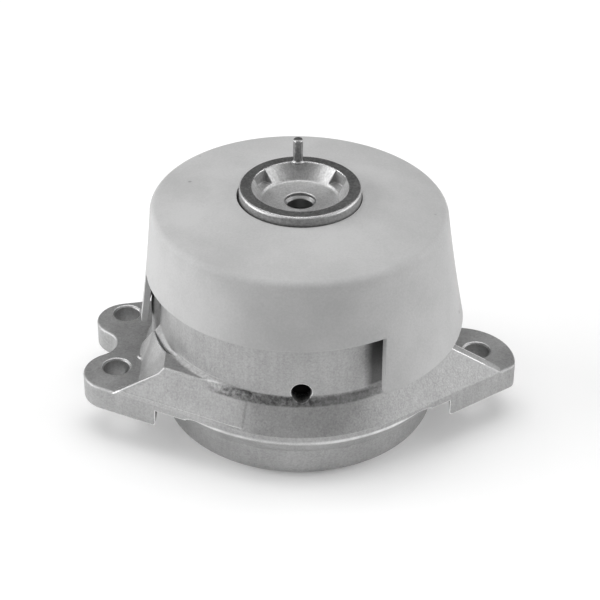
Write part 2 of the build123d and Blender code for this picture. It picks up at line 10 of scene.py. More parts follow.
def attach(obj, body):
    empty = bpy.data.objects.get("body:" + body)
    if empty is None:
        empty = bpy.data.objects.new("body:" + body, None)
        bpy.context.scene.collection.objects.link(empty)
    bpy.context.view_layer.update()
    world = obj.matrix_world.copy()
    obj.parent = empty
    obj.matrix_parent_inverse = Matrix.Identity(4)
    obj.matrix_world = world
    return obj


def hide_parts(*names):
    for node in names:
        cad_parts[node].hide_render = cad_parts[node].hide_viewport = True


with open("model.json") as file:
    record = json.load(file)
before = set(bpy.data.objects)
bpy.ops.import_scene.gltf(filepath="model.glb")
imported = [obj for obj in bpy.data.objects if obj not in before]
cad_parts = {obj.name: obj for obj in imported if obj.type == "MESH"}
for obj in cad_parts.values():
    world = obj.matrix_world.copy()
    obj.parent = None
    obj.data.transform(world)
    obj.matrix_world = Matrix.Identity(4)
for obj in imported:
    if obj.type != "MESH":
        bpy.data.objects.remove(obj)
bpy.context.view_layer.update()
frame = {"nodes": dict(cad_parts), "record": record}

# Shapes are given in millimetres and degrees, heights from the base and the axis upright at x = y = 0
MM = 0.001

# Camera, fitted to the photograph
CAMERA_DISTANCE = 800.0
CAMERA_TARGET_Z = 46.8
CAMERA_SIDE = 0.34
CAMERA_PITCH = 33.76
CAMERA_TURN = 2.0
CAMERA_ROLL = 0.6
CAMERA_LENS = 120.0
CAMERA_SENSOR = 36.0
CAMERA_NEAR = 10.0

# Cap: a cone on top, a rounded shoulder and a skirt that widens downwards
CAP_WALL = 2.5
CAP_HOLE_R = 24.45
CAP_HOLE_Z = 95.3
CAP_SHOULDER_R = 57.9
CAP_SHOULDER_Z = 91.2
CAP_SHOULDER_ROUND = 3.0
CAP_SHOULDER_FADE = 4.0
CAP_DEPTH = 48.8
CAP_WIDENING = 4.61
CAP_FLARE = 1.81
CAP_SEAT_R = 27.0
CAP_SEAT_Z = 92.2
CAP_HEM_BULGE = 0.5
CAP_RIM_BULGE = 0.25

# Cap's hem: mean heights, its slope to the side and to the front, where the cut-out starts and ends, and
# how its edges slant and its corners are rounded
CAP_SHORT_Z = 65.24
CAP_LONG_Z = 43.3
CAP_HEM_SIDE = 1.14
CAP_HEM_BACK = 1.03
CAP_CUT_START = 189.4
CAP_CUT_END = 304.2
CAP_CUT_SLANT = 2.9
CAP_CUT_REACH = 15.0
CAP_CUT_EARLY = 0.573
CAP_CUT_EDGE_TURN = 0.02
CAP_CUT_ROUND = 1.0

# Cap's loose fit: how far the hem hangs to the side and to the front, and how the top is tilted
CAP_LEAN_SIDE = 2.23
CAP_LEAN_BACK = -1.11
CAP_SHIFT = -0.3
CAP_TILT_SIDE = 0.65
CAP_TILT_BACK = -1.11
CAP_TILT_Z = 92.0

# Skirt's waves, each with its height, how often it comes in a turn and where it starts in radians
CAP_WAVES = ((0.14, 4, 2.1708), (0.10, 7, 1.1), (0.05, 13, 0.0))

# Crease under the cap's shoulder: depth, distance below the round, how it wanders and its width
CAP_CREASE = 0.22
CREASE_BELOW = 0.8
CREASE_WANDER = 0.5
CREASE_WIDTH = 1.3

# Cap's mesh: rows of each part of the section, steps along the hem, how many corners' widths the long
# and short runs keep from a corner, and how sharp an edge stays crisp
CAP_TOP_ROWS = 26
CAP_ROUND_ROWS = 12
CAP_SKIRT_ROWS = 48
CAP_LIP_ROWS = 7
CAP_RIM_ROWS = 3
HEM_CORNER_STEPS = 7
HEM_EDGE_STEPS = 12
HEM_LONG_STEPS = 230
HEM_SHORT_STEPS = 120
HEM_CORNER_GAP = 3
CAP_SHARP = 35

# Casting's web over the two-hole ear: its drafted wall, and how proud and how softly blended its skin is
WEB_WALL_ANGLE = -113.9
WEB_WALL_R = 62.2
WEB_DRAFT = 0.41
WEB_PROUD = 0.12
WEB_BLEND = 0.45
EAR_TOP_Z = 25.0
CYLINDER_R = 55.5

# Shoulder under the cylinder: lifted and less steep over the web, between two turns about the axis
SHOULDER_Z = 39.5
SHOULDER_LIFT = 1.4
SHOULDER_LIFT_FROM = (-153, -143)
SHOULDER_LIFT_TO = (-123, -104)
SHOULDER_EASY = 0.5
SHOULDER_STEEP = 1.6

# Lip along the wall: its toe on the ear, its slopes, its crest's width and its dip towards the cylinder
LIP_TOE = (-71.0, -37.0)
LIP_RISE = 0.633
LIP_FALL = 0.177
LIP_CREST = 1.1
LIP_INSIDE = 1.5
LIP_DIP = 3.0
LIP_DIP_SPAN = (-22, -12)

# Ramp from the ear to the cylinder, steeper at the rib than at the lip
RAMP_FOOT_X = -62.4
RAMP_RISE_AT_LIP = 1.25
RAMP_RISE_AT_RIB = 2.2
RAMP_LIP_Y = -30.0
RAMP_RIB_Y = -9.0
RAMP_TOP_R = 58.2
RAMP_TOP_FALL = 3.0

# Two small cast marks on the ramp's foot
CAST_MARKS = ((-63.6, -12.5), (-62.9, -8.2))
CAST_MARK_LENGTH = 1.6
CAST_MARK_WIDTH = 1.0
CAST_MARK_HEIGHT = 0.7
CAST_MARK_LEAN = 0.5
CAST_MARK_TOP = 0.5
CAST_MARK_SLOPE = 2.4

# Web's skin: its ends along the wall, its first row behind the wall's plane, its last row in the cylinder,
# and the room that it leaves for the ear's hole, between two distances inwards from the wall
WEB_START = -57.0
WEB_END = 8.0
WEB_SET_BACK = 0.25
WEB_BURIED = 1.5
WEB_LEAST_R = 30.0
HOLE_ROOM = 5.0
HOLE_ROOM_SPAN = (21.6, 25.0)

# Thickness of that skin, how wide its borders are and how deep they sink, and its floor below the ear's top
WEB_SKIN = 0.8
WEB_START_BORDER = 2.0
WEB_END_BORDER = 3.0
WEB_WALL_BORDER = 0.35
WEB_SINK = 0.8
WEB_FLOOR = 1.0

# Its mesh, with rows that crowd towards the wall by a power
WEB_COLUMNS = 240
WEB_ROWS = 130
WEB_CROWDING = 1.5

# Thread insert: M12 with a 1.75 mm pitch below a short plain mouth, its tooth flat at crest and root
THREAD_PITCH = 1.75
THREAD_CORE_R = 5.1
THREAD_DEPTH = 0.85
THREAD_MOUTH = 4.5
THREAD_FLANK = 1.25
THREAD_FLAT = 0.1
INSERT_TOP_Z = 91.8
INSERT_LENGTH = 32.0
INSERT_R = 8.6
INSERT_CHAMFER = 1.0
INSERT_COLUMNS = 72
INSERT_ROWS = 260

# How sharp an edge of a metal piece stays crisp
METAL_SHARP = 40

# Finishes are given in metres and degrees, with greys and shares from 0 to 1

# Noise patterns: cells to a metre, layers of detail and how strongly the finer layers show, and the span
# of a pattern that roughness follows
GRAIN = {"scale": 1300.0, "detail": 3.0, "rough": 0.6}
CLOUD = {"scale": 60.0, "detail": 5.0}
DRAWN = {"scale": 700.0, "detail": 3.0}
CUT_PITS = {"scale": 900.0, "detail": 3.0, "rough": 0.7}
BLOTCHES = {"scale": 620.0, "detail": 5.0, "rough": 0.65}
STEEL_STAIN = {"scale": 120.0}
BLOOM = {"scale": 34.0, "detail": 7.0}
RUBBER_PITS = {"scale": 1300.0, "detail": 2.0}
RIPPLE = {"scale": 90.0, "detail": 2.0}
FIBRE = {"scale": 300.0}
PATTERN_SPAN = (0.3, 0.7)

# Blasted castings: each pattern's share of the tone, the tone's span, draw marks and relief
GRAIN_SHARE = 0.45
CLOUD_SHARE = 0.40
DRAWN_SHARE = 0.15
CAST_TONE_SPAN = (0.36, 0.64)
DRAWN_STRETCH = (1.0, 1.0, 0.06)
DRAWN_RELIEF = 0.5
CAST_RELIEF = 0.0001
CAST_METALLIC = 0.9
CAST_ROUGH_VARIES = 0.05

# Rounded edges with a painted highlight along them: how far blasting rounds them, how far the normal turns
# there and how open the air is
EDGE_ROUND = 0.0009
EDGE_SAMPLES = 8
EDGE_HIGHLIGHT_TURN = (0.985, 0.92)
EDGE_HIGHLIGHT_OPEN = (0.72, 0.92)
EDGE_HIGHLIGHT_REACH = 0.002
EDGE_HIGHLIGHT_SAMPLES = 6
EDGE_POLISH = 0.12

# Core's top: the machined ring with its pits, and darker grey outside it round the collar
MACHINED_Z = 0.0994
MACHINED_STEP = 0.0001
MACHINED_GREY = 0.40
MACHINED_POLISH = 0.17
CUT_PIT_GREY = 0.14
CUT_PIT_SPAN = (0.42, 0.62)
CUT_PIT_SHARE = 0.55
COLLAR_R = 0.0236
COLLAR_STEP = 0.0001
COLLAR_GREY = 0.22
COLLAR_SHARE = 0.8
COLLAR_PIT_SPAN = (0.35, 0.60)
COLLAR_LEAST = 0.5

# Painted light and other marks on the housing have spans of height, turn about the axis and radius, and
# soft widths at their ends

# Painted highlight along the flare's lower edge, which is also smoother, weaker at the front and broken up
# by the cloudy patches
FLARE_HIGHLIGHT_SPANS = ((0.0214, 0.0226), (-165.0, -38.0), (0.0610, 0.0626))
FLARE_HIGHLIGHT_SOFT = (0.0007, 8.0, 0.0005)
FLARE_HIGHLIGHT_FRONT = -90.0
FLARE_HIGHLIGHT_ASIDE = (6.0, 24.0)
FLARE_HIGHLIGHT_AT_FRONT = 0.25
FLARE_HIGHLIGHT_CLOUD = (0.35, 0.55)
FLARE_HIGHLIGHT_IN_CLOUD = 0.3
FLARE_HIGHLIGHT_GREY = 1.0
FLARE_POLISH = 0.2

# Darker band in the crease under the cylinder, thinner past its middle
CREASE_BAND_SPANS = ((0.0366, 0.0396), (-117.0, -50.0))
CREASE_BAND_SOFT = (0.0006, 10.0)
CREASE_BAND_BLOTCHES = (0.38, 0.62)
CREASE_BAND_DENSE = 0.95
CREASE_BAND_BARE = 0.30
CREASE_BAND_THINS = (-83.0, -79.0)
CREASE_BAND_THIN = 0.62
CREASE_BAND_GREY = 0.10

# Painted highlight along that crease beside the web
CREASE_HIGHLIGHT_SPANS = ((0.0355, 0.0412), (-148.0, -122.0), (0.0558, 0.0572))
CREASE_HIGHLIGHT_SOFT = (0.0005, 5.0, 0.0006)
CREASE_HIGHLIGHT_BLOTCHES = (0.38, 0.60)
CREASE_HIGHLIGHT_LEAST = 0.25
CREASE_HIGHLIGHT_MOST = 0.60
CREASE_HIGHLIGHT_GREY = 0.80

# Painted shadow on the cylinder where the cap's cut edge lies
CUT_SHADOW_SPANS = ((0.0410, 0.0700), (-57.5, -44.0))
CUT_SHADOW_SOFT = (0.002, 4.0)
CUT_SHADOW_R_SPAN = (0.0565, 0.0570)
CUT_SHADOW_SHARE = 0.8
CUT_SHADOW_GREY = 0.05

# Edge above the one-hole ear that has no painted edge highlight
NO_EDGE_HIGHLIGHT_SPANS = ((0.0246, 0.0300), (-34.0, 0.0))
NO_EDGE_HIGHLIGHT_SOFT = (0.0004, 2.0)

# Turned and pressed steel: rings about the axis, and how far dark and light leave the steel's own grey
RING_SCALE = 900.0
RING_DISTORTION = 0.4
RING_SHARE = 0.3
RING_RELIEF = 0.00002
STEEL_DARKER = 0.75
STEEL_LIGHTER = 1.15
STEEL_ROUGHER = 0.15

# Moulded rubber: shares and span of its tone, dark specks, gloss and relief
BLOOM_SHARE = 0.7
PITS_SHARE = 0.3
RUBBER_TONE_SPAN = (0.38, 0.62)
SPECK_SCALE = 62.0
SPECK_SIZE = (0.035, 0.055)
SPECK_SHARE = 0.45
SPECK_DARKER = 0.3
RUBBER_ROUGHER = 0.12
RUBBER_SPECULAR = 0.35
RIPPLE_RELIEF = 2.0
RUBBER_RELIEF = 0.00006

# Each material slot's finish
CASTINGS = {
    # Each casting's edge grey is a painted highlight along its convex edges
    "cast_aluminium": {"light": 0.49, "dark": 0.31, "rough": 0.54, "highlight_grey": 0.90, "light_and_marks": True},
    "core_aluminium": {"light": 0.62, "dark": 0.34, "rough": 0.48, "highlight_grey": 0.60, "machined": True},
    "plate_aluminium": {"light": 0.70, "dark": 0.45, "rough": 0.35, "highlight_grey": 0.90},
}
STEELS = {
    "insert_steel": {"shade_grey": 0.30, "rough": 0.30},
    "ring_steel": {"shade_grey": 0.35, "rough": 0.40},
    "stop_steel": {"shade_grey": 0.40, "rough": 0.38},
    "retaining_steel": {"shade_grey": 0.20, "rough": 0.35},
    "rivet_aluminium": {"shade_grey": 0.60, "rough": 0.30},
}
RUBBERS = {
    "spring_rubber": {"dark": 0.015, "light": 0.030, "rough": 0.60},
    "membrane_rubber": {"dark": 0.020, "light": 0.035, "rough": 0.60},
    "seal_rubber": {"dark": 0.012, "light": 0.020, "rough": 0.45},
    "bellows_rubber": {"dark": 0.015, "light": 0.025, "rough": 0.55},
    "buffer_rubber": {"dark": 0.015, "light": 0.030, "rough": 0.60},
    # The cap's inner face is painted dark grey: painted shade inside the skirt
    "cap_rubber": {"dark": 0.405, "light": 0.485, "rough": 0.62, "inside_shade": 0.07},
}

# Floor under the bowl, from the axis to its edge, its paper and its faint glow, which lights the bowl's
# lower part
FLOOR_REACH = 3000.0
FLOOR_Z = -0.05
FLOOR_DARK = 0.82
FLOOR_LIGHT = 0.86
FLOOR_ROUGH = 0.9
FLOOR_GLOW = 0.16

# Light panels, each with its place, aim and size in metres and its power in watts, and dim surroundings
PANELS = {
    "top_panel": {"place": (0.0, 0.1, 1.5), "aim": (0, 0, 0), "size": (1.6, 1.4), "power": 16.5},
    "left_panel": {"place": (-1.5, -0.15, 0.55), "aim": (0, 0, 0.05), "size": (1.6, 1.3), "power": 26.2},
    "right_panel": {"place": (1.6, 0.1, 0.6), "aim": (0, 0, 0.05), "size": (1.9, 1.4), "power": 21.8},
}
SURROUNDINGS = 0.10


# Meshes
def grid_mesh(name, points, wrap_rows=False, wrap_columns=False, close_ends=False):
    """Object from a grid of points in millimetres, rows by columns by 3, with quads between neighbours.

    Closed ends add a face over the first and the last column.
    """
    rows, columns = points.shape[:2]
    row = np.arange(rows if wrap_rows else rows - 1)
    column = np.arange(columns if wrap_columns else columns - 1)
    r, c = np.meshgrid(row, column, indexing="ij")
    start = r * columns
    start_next = (r + 1) % rows * columns
    c_next = (c + 1) % columns
    quads = np.stack([start + c, start + c_next, start_next + c_next, start_next + c], -1)
    mesh = bpy.data.meshes.new(name)
    faces = quads.reshape(-1, 4).tolist()
    if close_ends:
        first = np.arange(rows) * columns
        faces += [first.tolist(), (first + columns - 1)[::-1].tolist()]
    mesh.from_pydata(points.reshape(-1, 3) * MM, [], faces)
    mesh.update()
    piece = bpy.data.objects.new(name, mesh)
    bpy.context.collection.objects.link(piece)
    return piece


def shade(piece, angle):
    """Smooth shading, with edges sharper than the angle left crisp."""
    piece.data.shade_smooth()
    piece.data.set_sharp_from_angle(angle=radians(angle))


def smooth_step(value, start, end):
    """Share from 0 at the start to 1 at the end, level at both."""
    share = np.clip((value - start) / (end - start), 0, 1)
    return share * share * (3 - 2 * share)


def soft_max(first, second, blend):
    """Higher of two heights, with the crease between them rounded over a blend width."""
    near = np.clip(blend - np.abs(first - second), 0, None) / blend
    return np.maximum(first, second) + near * near * blend / 4


# Cap
def cap_section():
    """Cap's outer section from the hole to the end of the shoulder, as radius and height rows.

    The top is a straight cone, and the shoulder is an arc tangent to the cone and to the skirt.
    """
    slope = np.arctan((CAP_SHOULDER_Z - CAP_HOLE_Z) / (CAP_SHOULDER_R - CAP_HOLE_R))
    start = np.pi / 2 + slope
    end = np.arctan(CAP_WIDENING / CAP_DEPTH)
    reach = CAP_SHOULDER_ROUND * np.tan((start - end) / 2)
    cone_end = np.array([CAP_SHOULDER_R - reach * np.cos(slope), CAP_SHOULDER_Z - reach * np.sin(slope)])
    centre = cone_end - CAP_SHOULDER_ROUND * np.array([np.cos(start), np.sin(start)])
    along = np.linspace(0, 1, CAP_TOP_ROWS)[:, None]
    cone = np.array([CAP_HOLE_R, CAP_HOLE_Z]) * (1 - along) + cone_end * along
    angle = np.linspace(start, end, CAP_ROUND_ROWS + 1)[1:, None]
    shoulder = centre + CAP_SHOULDER_ROUND * np.hstack([np.cos(angle), np.sin(angle)])
    return np.vstack([cone, shoulder])


def skirt_radius(height):
    """Outer radius of the skirt: it widens downwards, more so near the hem."""
    depth = (CAP_SHOULDER_Z - height) / CAP_DEPTH
    return CAP_SHOULDER_R + CAP_WIDENING * depth + CAP_FLARE * depth ** 2


def hem_path():
    """Hem of the skirt once round, as angles and heights: a long run, the step up into the cut-out, a
    short run and the same step mirrored.

    A step is a quarter circle, a nearly upright edge and a second quarter circle. Both runs follow a
    plane that slopes to the side and to the front.
    """
    corner = np.degrees(CAP_CUT_ROUND / skirt_radius(CAP_SHORT_Z))
    bend = np.linspace(0, np.pi / 2, HEM_CORNER_STEPS)
    rise = np.linspace(0, 1, HEM_EDGE_STEPS + 2)[1:-1]
    edge = CAP_CUT_EDGE_TURN * rise
    step = np.concatenate([-corner * (1 - np.sin(bend)), edge, edge[-1] + corner * (1 - np.cos(bend))])
    low = CAP_LONG_Z + CAP_CUT_ROUND * (1 - np.cos(bend))
    high = CAP_SHORT_Z - CAP_CUT_ROUND * (1 - np.sin(bend))
    step_z = np.concatenate([low, low[-1] + (high[0] - low[-1]) * rise, high])
    gap = HEM_CORNER_GAP * corner
    long_run = np.linspace(CAP_CUT_END - 360 + gap, CAP_CUT_START - gap, HEM_LONG_STEPS)
    short_run = np.linspace(CAP_CUT_START + gap, CAP_CUT_END - gap, HEM_SHORT_STEPS)
    angles = np.radians(np.concatenate([
        long_run, CAP_CUT_START + step, short_run, CAP_CUT_END - step[::-1],
    ]))
    heights = np.concatenate([
        np.full(HEM_LONG_STEPS, CAP_LONG_Z), step_z, np.full(HEM_SHORT_STEPS, CAP_SHORT_Z), step_z[::-1],
    ])
    return angles, heights + CAP_HEM_SIDE * np.cos(angles) + CAP_HEM_BACK * np.sin(angles)


def cut_slant(angles, height):
    """Turn of the long skirt beside the cut-out's end: none at the short hem, full at the long one, and
    fading with the distance from a little before that end, so that the edge itself turns fully.
    """
    share = np.clip((CAP_SHORT_Z - height) / (CAP_SHORT_Z - CAP_LONG_Z), 0, 1)
    distance = (np.degrees(angles) - CAP_CUT_END + CAP_CUT_EARLY) % 360
    return radians(CAP_CUT_SLANT) * share * np.exp(-distance / CAP_CUT_REACH)


def cap_outside(hem_z):
    """Cap's outer face from the hole to the hem, as rows of radius and height.

    The skirt's rows share the way down to the hem evenly, and its radius starts at the shoulder's own
    and fades into the widening skirt's.
    """
    section = cap_section()
    shoulder_r, shoulder_z = section[-1]
    share = np.linspace(0, 1, CAP_SKIRT_ROWS + 1)[1:, None]
    skirt_z = shoulder_z + (hem_z - shoulder_z) * share
    fade = np.exp((skirt_z - shoulder_z) / CAP_SHOULDER_FADE)
    skirt_r = skirt_radius(skirt_z) + (shoulder_r - skirt_radius(shoulder_z)) * fade
    radius = np.vstack([np.repeat(section[:, :1], len(hem_z), 1), skirt_r])
    height = np.vstack([np.repeat(section[:, 1:], len(hem_z), 1), skirt_z])
    return radius, height


def cap_inside(outer_r, outer_z):
    """Cap's inner face from the hem back to the hole: the outer one moved in by the wall at right angles
    to its section, and drawn level where it sits on the core's collar.
    """
    run_r = np.gradient(outer_r, axis=0)
    run_z = np.gradient(outer_z, axis=0)
    length = np.hypot(run_r, run_z)
    inner_r = (outer_r + CAP_WALL * run_z / length)[::-1]
    inner_z = (outer_z - CAP_WALL * run_r / length)[::-1]
    seat = np.clip((CAP_SEAT_R + CAP_WALL - inner_r) / CAP_WALL, 0, 1)
    return inner_r, inner_z * (1 - seat) + CAP_SEAT_Z * seat


def cap_unevenness(angles, height):
    """Small waves of the soft skirt, which grow towards the hem, and a shallow crease under the shoulder.

    Each wave is a sine of its count times the angle, and the crease is a bell over the height.
    """
    depth = np.clip((CAP_SHOULDER_Z - height) / CAP_DEPTH, 0, 1)
    waves = sum(size * np.sin(count * angles + phase) for size, count, phase in CAP_WAVES)
    crease_z = CAP_SHOULDER_Z - CAP_SHOULDER_ROUND - CREASE_BELOW + CREASE_WANDER * np.cos(2 * angles)
    front = np.sqrt(np.clip(-np.sin(angles), 0, 1))
    crease = CAP_CREASE * front * np.exp(-((height - crease_z) / CREASE_WIDTH) ** 2)
    return depth * waves - crease


def hang_cap(x, y, z):
    """Loose fit: the skirt hangs aside in proportion to its depth, and the whole cap tilts on its seat."""
    depth = np.clip((CAP_SHOULDER_Z - z) / CAP_DEPTH, 0, None)
    x = x + CAP_LEAN_SIDE * depth + CAP_SHIFT
    y = y + CAP_LEAN_BACK * depth
    z = z - CAP_TILT_Z
    side = radians(CAP_TILT_SIDE)
    back = radians(CAP_TILT_BACK)
    x, z = x * cos(side) + z * sin(side), z * cos(side) - x * sin(side)
    y, z = y * cos(back) - z * sin(back), z * cos(back) + y * sin(back)
    return np.stack([x, y, z + CAP_TILT_Z], -1)


def make_cap():
    """Moulded rubber cap, a closed skin over its outer and inner faces.

    Rows follow the section from the hole over the top, shoulder and skirt to the hem, round the hem, back
    inside and round the hole's rim. Columns follow the hem path, so the skirt's rows end at the hem's
    height there.
    """
    angles, hem_z = hem_path()
    outer_r, outer_z = cap_outside(hem_z)
    inner_r, inner_z = cap_inside(outer_r, outer_z)
    lip = np.linspace(0, np.pi, CAP_LIP_ROWS + 2)[1:-1, None]
    lip_r = (outer_r[-1] + inner_r[0]) / 2 + (outer_r[-1] - inner_r[0]) / 2 * np.cos(lip)
    lip_z = (outer_z[-1] + inner_z[0]) / 2 - CAP_HEM_BULGE * np.sin(lip)
    rim = np.linspace(0, 1, CAP_RIM_ROWS + 2)[1:-1, None]
    rim_r = CAP_HOLE_R - CAP_RIM_BULGE * np.sin(np.pi * rim) + np.zeros(len(angles))
    rim_z = inner_z[-1] + (outer_z[0] - inner_z[-1]) * rim
    height = np.vstack([outer_z, lip_z, inner_z, rim_z])
    radius = np.vstack([outer_r, lip_r, inner_r, rim_r]) + cap_unevenness(angles, height)
    angles = angles - cut_slant(angles, height)
    points = hang_cap(radius * np.cos(angles), radius * np.sin(angles), height)
    cap = grid_mesh("rubber_cap_skin", points, wrap_rows=True, wrap_columns=True)
    inside = np.zeros(points.shape[:2])
    inside[len(outer_r) + len(lip_r):-len(rim_r)] = 1
    cap.data.attributes.new("inside", "FLOAT", "POINT").data.foreach_set("value", inside.ravel())
    shade(cap, CAP_SHARP)
    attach(cap, "root")
    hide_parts("rubber_cap")
    return cap


# Web
def lip_height(x, y, along, reach):
    """Lip along the wall: a sloping plane, no higher than the shoulder and lower towards the cylinder,
    which falls off behind its crest.
    """
    crest = EAR_TOP_Z + LIP_RISE * (x - LIP_TOE[0]) - LIP_FALL * (y - LIP_TOE[1]) + WEB_PROUD
    crest = np.minimum(crest, SHOULDER_Z + WEB_PROUD - LIP_DIP * smooth_step(along, *LIP_DIP_SPAN))
    behind = WEB_WALL_R - WEB_DRAFT * (crest - EAR_TOP_Z) - LIP_CREST - reach
    return crest - LIP_INSIDE * np.maximum(behind, 0)


def ramp_height(x, y, radius):
    """Ramp from the ear towards the cylinder: its rise grows from the lip to the rib, and it falls off
    inside the cylinder. Each cast mark is a low cone with a flat top, on a slanted oval.
    """
    rise = RAMP_RISE_AT_LIP + (RAMP_RISE_AT_RIB - RAMP_RISE_AT_LIP) * smooth_step(y, RAMP_LIP_Y, RAMP_RIB_Y)
    ramp = EAR_TOP_Z + rise * (x - RAMP_FOOT_X) - RAMP_TOP_FALL * np.maximum(RAMP_TOP_R - radius, 0)
    for mark_x, mark_y in CAST_MARKS:
        aside = (x - mark_x + CAST_MARK_LEAN * (y - mark_y)) / CAST_MARK_WIDTH
        across = np.hypot(aside, (y - mark_y) / CAST_MARK_LENGTH)
        mark = CAST_MARK_HEIGHT - CAST_MARK_SLOPE * np.maximum(across - CAST_MARK_TOP, 0)
        ramp = np.maximum(ramp, EAR_TOP_Z + mark)
    return np.minimum(ramp, SHOULDER_Z + WEB_PROUD)


def shoulder_height(x, y, radius):
    """Shoulder under the cylinder: a cone that leans down and outwards, lifted and easier over the web."""
    turn = np.degrees(np.arctan2(y, x))
    lift = smooth_step(turn, *SHOULDER_LIFT_FROM) * (1 - smooth_step(turn, *SHOULDER_LIFT_TO))
    slope = SHOULDER_STEEP + (SHOULDER_EASY - SHOULDER_STEEP) * lift
    return SHOULDER_Z - WEB_PROUD + SHOULDER_LIFT * lift - slope * (radius - CYLINDER_R)


def web_height(x, y):
    """Height of the casting over the two-hole ear: the highest of lip, ramp and shoulder, and no higher
    than the drafted wall, which rises inwards. Where two of them meet, the crease is blended.
    """
    angle = radians(WEB_WALL_ANGLE)
    outward = x * cos(angle) + y * sin(angle)
    along = y * cos(angle) - x * sin(angle)
    reach = np.hypot(outward, np.maximum(along, 0))
    radius = np.hypot(x, y)
    wall = EAR_TOP_Z + (WEB_WALL_R + WEB_PROUD - reach) / WEB_DRAFT
    inner = soft_max(lip_height(x, y, along, reach), ramp_height(x, y, radius), WEB_BLEND)
    ground = soft_max(inner, shoulder_height(x, y, radius), WEB_BLEND)
    return -soft_max(-wall, -ground, WEB_BLEND)


def make_web():
    """Cast skin over the web of the two-hole ear: rows run inwards from the wall, columns along it.

    The rows crowd towards the wall and end buried in the cylinder. Outside the cylinder, the columns
    draw in from the start in proportion, which leaves room for the ear's front hole, and past the wall's
    end the rows bend back about as a circle round the axis does. The borders and the underside lie below
    the housing's surface, so the skin meets the housing without a gap, and a floor just under the ear's
    top keeps it inside the ear.
    """
    angle = radians(WEB_WALL_ANGLE)
    along = np.linspace(WEB_START, WEB_END, WEB_COLUMNS)
    cylinder = np.sqrt(np.clip((CYLINDER_R - WEB_BURIED) ** 2 - along ** 2, 0, None))
    depth = WEB_WALL_R - np.maximum(cylinder, WEB_LEAST_R)
    share = np.linspace(0, 1, WEB_ROWS)[:, None] ** WEB_CROWDING
    inward = WEB_SET_BACK + (depth - WEB_SET_BACK) * share
    border = smooth_step(inward, WEB_SET_BACK, WEB_SET_BACK + WEB_WALL_BORDER)
    border = border * smooth_step(along, WEB_START, WEB_START + WEB_START_BORDER)
    border = border * (1 - smooth_step(along, WEB_END - WEB_END_BORDER, WEB_END))
    start = WEB_START + HOLE_ROOM * (1 - smooth_step(inward, *HOLE_ROOM_SPAN))
    along = WEB_END - (WEB_END - along) * (WEB_END - start) / (WEB_END - WEB_START)
    straight = WEB_WALL_R - inward
    outward = 2 * straight - np.hypot(straight, np.maximum(along, 0))
    x = outward * cos(angle) - along * sin(angle)
    y = outward * sin(angle) + along * cos(angle)
    top = np.maximum(web_height(x, y) - WEB_SINK * (1 - border), EAR_TOP_Z - WEB_FLOOR)
    low = top - WEB_SKIN
    x = np.vstack([x, x[::-1]])
    y = np.vstack([y, y[::-1]])
    points = np.stack([x, y, np.vstack([top, low[::-1]])], -1)
    web = grid_mesh("left_web_skin", points, wrap_rows=True, close_ends=True)
    shade(web, METAL_SHARP)
    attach(web, "root")
    return web


# Thread insert
def make_thread():
    """Thread insert: an outer sleeve and an inner thread whose radius follows a rounded saw tooth.

    The tooth's phase is height over pitch minus angle over a full turn, so the crest is a helix. The
    mouth is plain, and both ends of the bore open in a chamfer.
    """
    angles = np.linspace(0, 2 * np.pi, INSERT_COLUMNS, endpoint=False)
    low = INSERT_TOP_Z - INSERT_LENGTH
    heights = np.linspace(low, INSERT_TOP_Z, INSERT_ROWS)[:, None] + np.zeros(INSERT_COLUMNS)
    phase = heights / THREAD_PITCH - angles / (2 * np.pi)
    tooth = np.clip(np.abs((phase % 1.0) * 2 - 1) * THREAD_FLANK - THREAD_FLAT, 0, 1)
    below = np.clip((INSERT_TOP_Z - THREAD_MOUTH - heights) / THREAD_PITCH, 0, 1)
    thread_r = THREAD_CORE_R + THREAD_DEPTH * below * tooth
    mouth = np.clip((heights - (INSERT_TOP_Z - INSERT_CHAMFER)) / INSERT_CHAMFER, 0, 1)
    foot = np.clip((low + INSERT_CHAMFER - heights) / INSERT_CHAMFER, 0, 1)
    bore_r = np.maximum(thread_r, THREAD_CORE_R + INSERT_CHAMFER * np.maximum(mouth, foot))
    outer_r = np.full((2, INSERT_COLUMNS), INSERT_R)
    outer_z = np.array([[INSERT_TOP_Z], [low]]) + np.zeros(INSERT_COLUMNS)
    radius = np.vstack([bore_r, outer_r])
    height = np.vstack([heights, outer_z])
    points = np.stack([radius * np.cos(angles), radius * np.sin(angles), height], -1)
    thread = grid_mesh("thread_insert_turned", points[::-1], wrap_rows=True, wrap_columns=True)
    shade(thread, METAL_SHARP)
    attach(thread, "root")
    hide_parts("thread_insert")
    return thread


# Material nodes
def new_material(name):
    """Node material, with its tree and its principled shader."""
    material = bpy.data.materials.new(name)
    material.use_nodes = True
    tree = material.node_tree
    return material, tree, tree.nodes["Principled BSDF"]


def plain_grey(value):
    """Opaque colour of one grey."""
    return value, value, value, 1


def object_point(tree):
    """Object coordinates, in metres."""
    return tree.nodes.new("ShaderNodeTexCoord").outputs["Object"]


def stretched(tree, point, scale):
    """Point scaled along each axis before a pattern reads it."""
    mapping = tree.nodes.new("ShaderNodeMapping")
    mapping.inputs["Scale"].default_value = scale
    tree.links.new(point, mapping.inputs["Vector"])
    return mapping.outputs["Vector"]


def noise(tree, point, scale, detail=4.0, rough=0.55):
    """Fractal noise value, about 0.5 on average."""
    node = tree.nodes.new("ShaderNodeTexNoise")
    node.inputs["Scale"].default_value = scale
    node.inputs["Detail"].default_value = detail
    node.inputs["Roughness"].default_value = rough
    tree.links.new(point, node.inputs["Vector"])
    return node.outputs["Fac"]


